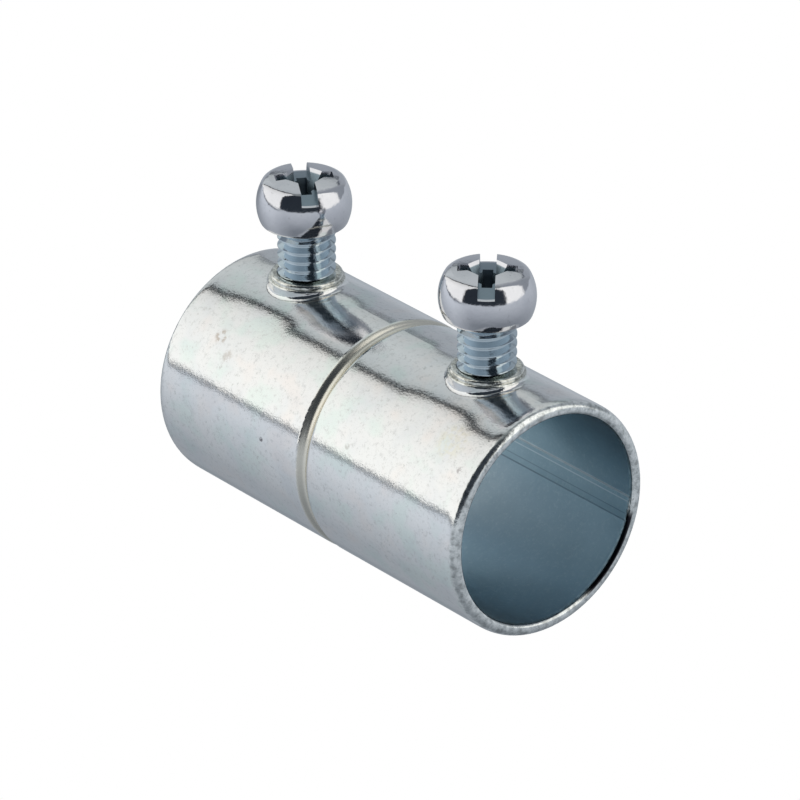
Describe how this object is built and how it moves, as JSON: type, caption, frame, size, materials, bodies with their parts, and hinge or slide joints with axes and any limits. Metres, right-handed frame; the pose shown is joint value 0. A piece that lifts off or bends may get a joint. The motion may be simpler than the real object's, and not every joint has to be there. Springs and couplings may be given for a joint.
{
  "type": "conduit set-screw coupling",
  "caption": "Grooved steel tube coupling with drawn, tapped bosses and barrel-head set screws that clamp thin-wall conduit at both ends.",
  "frame": {"origin": "middle of the coupling on the bore's axis, at the middle of the conduit stop", "axes": "+X along the bore's axis to the front mouth, +Z from the bore's axis to the screws, +Y to the left of +X seen from above"},
  "size_m": [0.05, 0.0264, 0.0389],
  "materials": {
    "zinc_plated_tube": "bright zinc plate on rolled steel tube",
    "zinc_plated_screw": "clear blue-bright zinc plate on a cold-headed steel screw"
  },
  "bodies": {
    "coupling": {"coupling_body": "zinc_plated_tube"},
    "front_point": {"front_screw_point": "zinc_plated_screw"},
    "front_screw": {"front_set_screw": "zinc_plated_screw"},
    "rear_point": {"rear_screw_point": "zinc_plated_screw"},
    "rear_screw": {"rear_set_screw": "zinc_plated_screw"}
  },
  "joints": [
    {"name": "front_screw_feed", "type": "slide", "parent": "coupling", "child": "front_point", "axis": [0, 0, -1], "range_m": [-0.0012, 0.00565]},
    {"name": "front_screw_turn", "type": "hinge", "parent": "front_point", "child": "front_screw", "pos_m": [0.0148, 0, 0.0202], "axis": [0, 0, -1], "range_deg": [-409, 1924]},
    {"name": "rear_screw_feed", "type": "slide", "parent": "coupling", "child": "rear_point", "axis": [0, 0, -1], "range_m": [-0.0012, 0.00565]},
    {"name": "rear_screw_turn", "type": "hinge", "parent": "rear_point", "child": "rear_screw", "pos_m": [-0.0153, 0, 0.0202], "axis": [0, 0, -1], "range_deg": [-409, 1924]}
  ],
  "couplings": [
    {"joint": "front_screw_turn", "follows": "front_screw_feed", "rad_per_m": 5938.7},
    {"joint": "rear_screw_turn", "follows": "rear_screw_feed", "rad_per_m": 5938.7}
  ]
}
